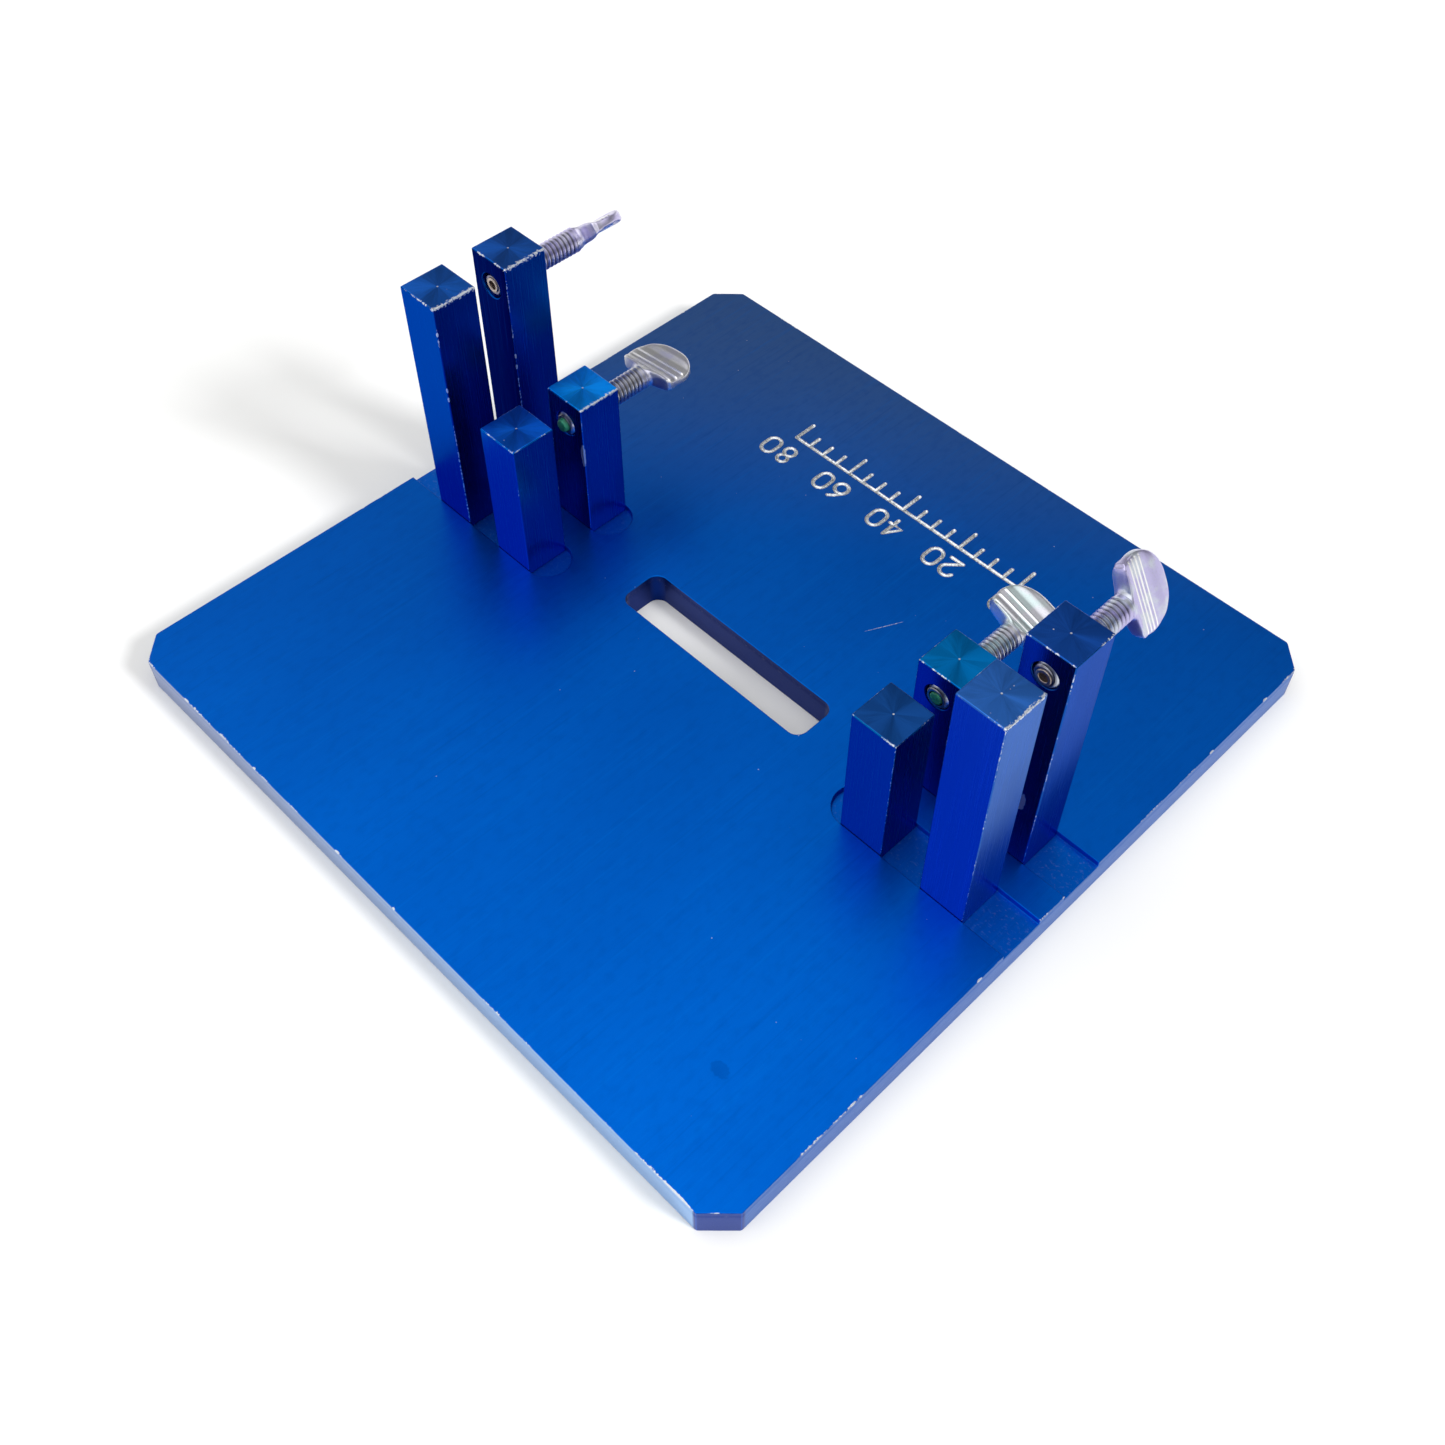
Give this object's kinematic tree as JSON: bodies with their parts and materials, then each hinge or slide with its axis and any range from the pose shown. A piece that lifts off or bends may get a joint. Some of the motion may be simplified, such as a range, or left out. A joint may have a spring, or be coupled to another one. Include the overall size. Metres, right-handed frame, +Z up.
{
  "type": "pcb holder vise",
  "caption": "Square clipped-corner plate with a central slot and two rows of square posts; thumb screws through the back row clamp boards against the front row.",
  "frame": {"origin": "centre of the underside of the plate", "axes": "+X along the two rows of posts, +Y from the fixed front row to the back row with the thumb screws, +Z up"},
  "size_m": [0.2096, 0.2096, 0.0811],
  "materials": {
    "plate": "blue anodised, fine brushed grain",
    "post": "deep blue anodised, drawn bar with faced ends",
    "thumb_screw": "bright zinc plate",
    "tip_sleeve": "dull plated, dark bore",
    "tip_pad": "green plastic, scuffed",
    "post_bolt": "black oxide"
  },
  "bodies": {
    "root": {"base_plate": "plate", "left_outer_front_post": "post", "left_outer_front_post_bolt": "post_bolt", "left_outer_back_post": "post", "left_outer_back_post_bolt": "post_bolt", "left_inner_front_post": "post", "left_inner_front_post_bolt": "post_bolt", "left_inner_back_post": "post", "left_inner_back_post_bolt": "post_bolt", "right_inner_front_post": "post", "right_inner_front_post_bolt": "post_bolt", "right_inner_back_post": "post", "right_inner_back_post_bolt": "post_bolt", "right_outer_front_post": "post", "right_outer_front_post_bolt": "post_bolt", "right_outer_back_post": "post", "right_outer_back_post_bolt": "post_bolt"},
    "left_outer_tip": {"left_outer_tip_sleeve": "tip_sleeve"},
    "left_outer_screw": {"left_outer_thumb_screw": "thumb_screw"},
    "left_inner_tip": {"left_inner_tip_pad": "tip_pad"},
    "left_inner_screw": {"left_inner_thumb_screw": "thumb_screw"},
    "right_inner_tip": {"right_inner_tip_pad": "tip_pad"},
    "right_inner_screw": {"right_inner_thumb_screw": "thumb_screw"},
    "right_outer_tip": {"right_outer_tip_sleeve": "tip_sleeve"},
    "right_outer_screw": {"right_outer_thumb_screw": "thumb_screw"}
  },
  "joints": [
    {"name": "left_outer_advance", "type": "slide", "parent": "root", "child": "left_outer_tip", "axis": [0, -1, 0], "range_m": [-0.00709, 0.00899]},
    {"name": "left_outer_turn", "type": "hinge", "parent": "left_outer_tip", "child": "left_outer_screw", "pos_m": [-0.08632, 0.00505, 0.07218], "axis": [0, -1, 0], "range_deg": [-1980, 2520]},
    {"name": "left_inner_advance", "type": "slide", "parent": "root", "child": "left_inner_tip", "axis": [0, -1, 0], "range_m": [-0.00804, 0.00677]},
    {"name": "left_inner_turn", "type": "hinge", "parent": "left_inner_tip", "child": "left_inner_screw", "pos_m": [-0.06193, 0.00395, 0.04308], "axis": [0, -1, 0], "range_deg": [-2250, 1890]},
    {"name": "right_inner_advance", "type": "slide", "parent": "root", "child": "right_inner_tip", "axis": [0, -1, 0], "range_m": [-0.00804, 0.00772]},
    {"name": "right_inner_turn", "type": "hinge", "parent": "right_inner_tip", "child": "right_inner_screw", "pos_m": [0.06193, 0.00415, 0.04308], "axis": [0, -1, 0], "range_deg": [-2250, 2160]},
    {"name": "right_outer_advance", "type": "slide", "parent": "root", "child": "right_outer_tip", "axis": [0, -1, 0], "range_m": [-0.00804, 0.00804]},
    {"name": "right_outer_turn", "type": "hinge", "parent": "right_outer_tip", "child": "right_outer_screw", "pos_m": [0.08632, 0.00415, 0.07218], "axis": [0, -1, 0], "range_deg": [-2250, 2250]}
  ],
  "couplings": [
    {"joint": "left_outer_advance", "follows": "left_outer_turn", "m_per_rad": 0.00020213},
    {"joint": "left_inner_advance", "follows": "left_inner_turn", "m_per_rad": 0.00020213},
    {"joint": "right_inner_advance", "follows": "right_inner_turn", "m_per_rad": 0.00020213},
    {"joint": "right_outer_advance", "follows": "right_outer_turn", "m_per_rad": 0.00020213}
  ]
}
